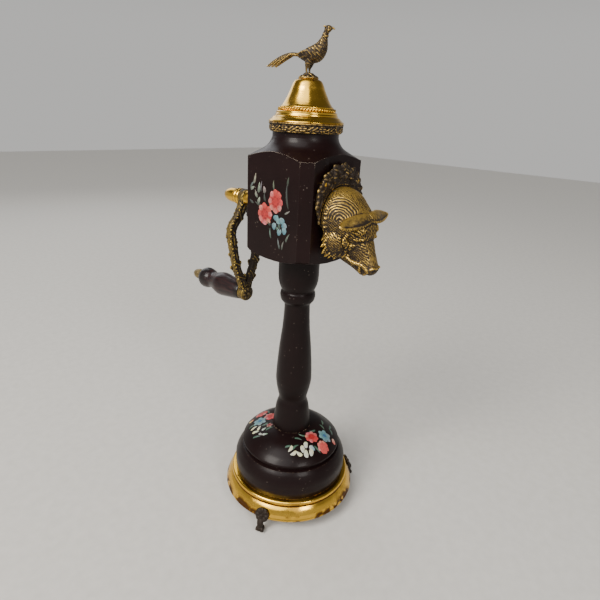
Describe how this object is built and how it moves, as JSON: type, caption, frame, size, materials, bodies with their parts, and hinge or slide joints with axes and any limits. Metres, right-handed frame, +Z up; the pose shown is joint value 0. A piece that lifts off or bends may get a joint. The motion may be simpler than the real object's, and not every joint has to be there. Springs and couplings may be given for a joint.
{
  "type": "ornamental table bar stand",
  "caption": "Turned wood and brass street-pump ornament: lift-off hand bell with a pheasant, pull-out crank corkscrew and animal-head bottle opener, on a footed brass dish.",
  "frame": {"origin": "on the table, on the axis of the turned column", "axes": "+Z up; -Y is the front with the animal's head; +Y is the back with the crank; +X completes the right-handed frame"},
  "size_m": [0.0845, 0.1501, 0.2724],
  "materials": {
    "lacquered_wood": "near-black brown lacquer, satin",
    "polished_brass": "polished, with dull brown in the corners",
    "antique_brass": "cast, blackened in the recesses and rubbed bright on the high places",
    "steel": "plain bright"
  },
  "bodies": {
    "stand": {"base_dish": "polished_brass", "foot_left": "antique_brass", "foot_right": "antique_brass", "foot_back": "antique_brass", "foot_rivets": "antique_brass", "base_screw": "steel", "base_washer": "steel", "base_block": "lacquered_wood", "column": "lacquered_wood", "head_block": "lacquered_wood", "gallery_band": "antique_brass", "gallery_pins": "polished_brass", "crank_ferrule": "polished_brass", "oak_wreath": "antique_brass", "wreath_pins": "antique_brass", "opener_socket": "polished_brass"},
    "bell": {"bell": "polished_brass", "pheasant": "antique_brass", "bell_eye": "polished_brass"},
    "clapper": {"clapper_rod": "polished_brass", "clapper_ball": "polished_brass"},
    "sleeve": {"crank_sleeve": "polished_brass"},
    "crank": {"crank_arm": "antique_brass", "corkscrew": "steel", "crank_cap": "antique_brass", "grip_pin": "antique_brass", "grip_button": "antique_brass"},
    "grip": {"grip": "lacquered_wood"},
    "opener": {"animal_head": "antique_brass", "opener_blade": "steel", "opener_screws": "steel"}
  },
  "joints": [
    {"name": "bell_lift", "type": "slide", "parent": "stand", "child": "bell", "axis": [0, 0, 1], "range_m": [0, 0.06]},
    {"name": "clapper_swing", "type": "hinge", "parent": "bell", "child": "clapper", "pos_m": [0, 0, 0.2431], "axis": [1, 0, 0], "range_deg": [-46, 46]},
    {"name": "crank_pull", "type": "slide", "parent": "stand", "child": "sleeve", "axis": [0, 1, 0], "range_m": [0, 0.06]},
    {"name": "crank_turn", "type": "hinge", "parent": "sleeve", "child": "crank", "pos_m": [0, 0.0429, 0.186], "axis": [0, 1, 0], "continuous": true},
    {"name": "grip_spin", "type": "hinge", "parent": "crank", "child": "grip", "pos_m": [0, 0.07, 0.1255], "axis": [0, 1, 0], "continuous": true},
    {"name": "opener_pull", "type": "slide", "parent": "stand", "child": "opener", "axis": [0, -1, 0], "range_m": [0, 0.06]}
  ]
}
